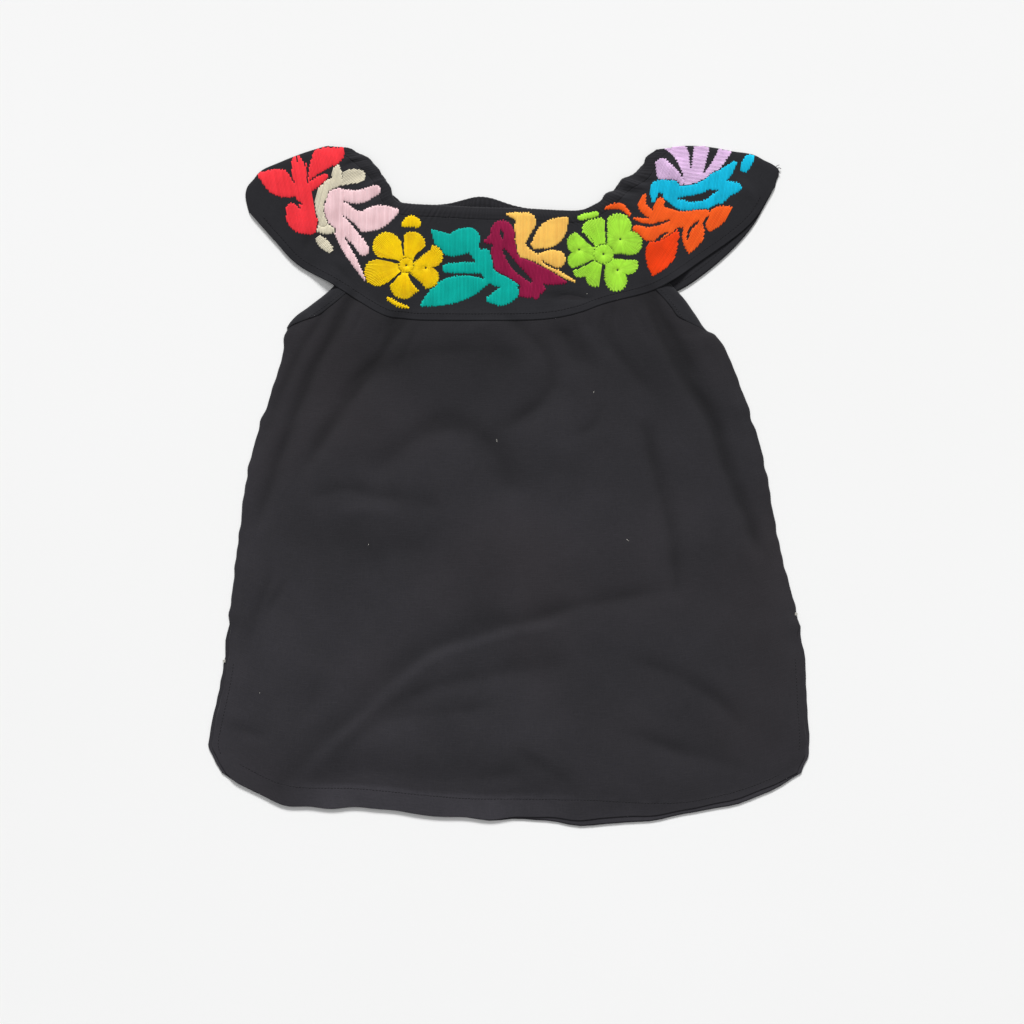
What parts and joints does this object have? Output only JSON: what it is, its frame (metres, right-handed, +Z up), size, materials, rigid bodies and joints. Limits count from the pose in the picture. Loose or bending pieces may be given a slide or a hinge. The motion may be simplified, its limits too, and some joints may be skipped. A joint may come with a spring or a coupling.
{
  "type": "off-shoulder peasant blouse",
  "caption": "Loose black cotton blouse laid flat, with an elastic neckline, a wide embroidered flounce over the shoulders and a rounded shirt-tail hem.",
  "frame": {"origin": "middle of the laid-out blouse's bounding box, on the surface that it lies on", "axes": "+Z up out of the surface, through the front of the blouse; +Y from the hem to the neckline; +X to the right as seen from above"},
  "size_m": [0.5985, 0.6783, 0.0107],
  "materials": {
    "body_cotton": "matte plain-weave cotton",
    "flounce_cotton": "matte plain-weave cotton with satin-stitch embroidery",
    "gathered_cotton": "matte cotton gathered over elastic"
  },
  "bodies": {
    "root": {"body_back": "body_cotton", "body_front": "body_cotton", "armhole_band_left": "body_cotton", "armhole_band_right": "body_cotton", "flounce_back": "flounce_cotton", "flounce_front": "flounce_cotton", "neck_casing_back": "gathered_cotton", "neck_casing_front": "gathered_cotton"}
  },
  "joints": []
}
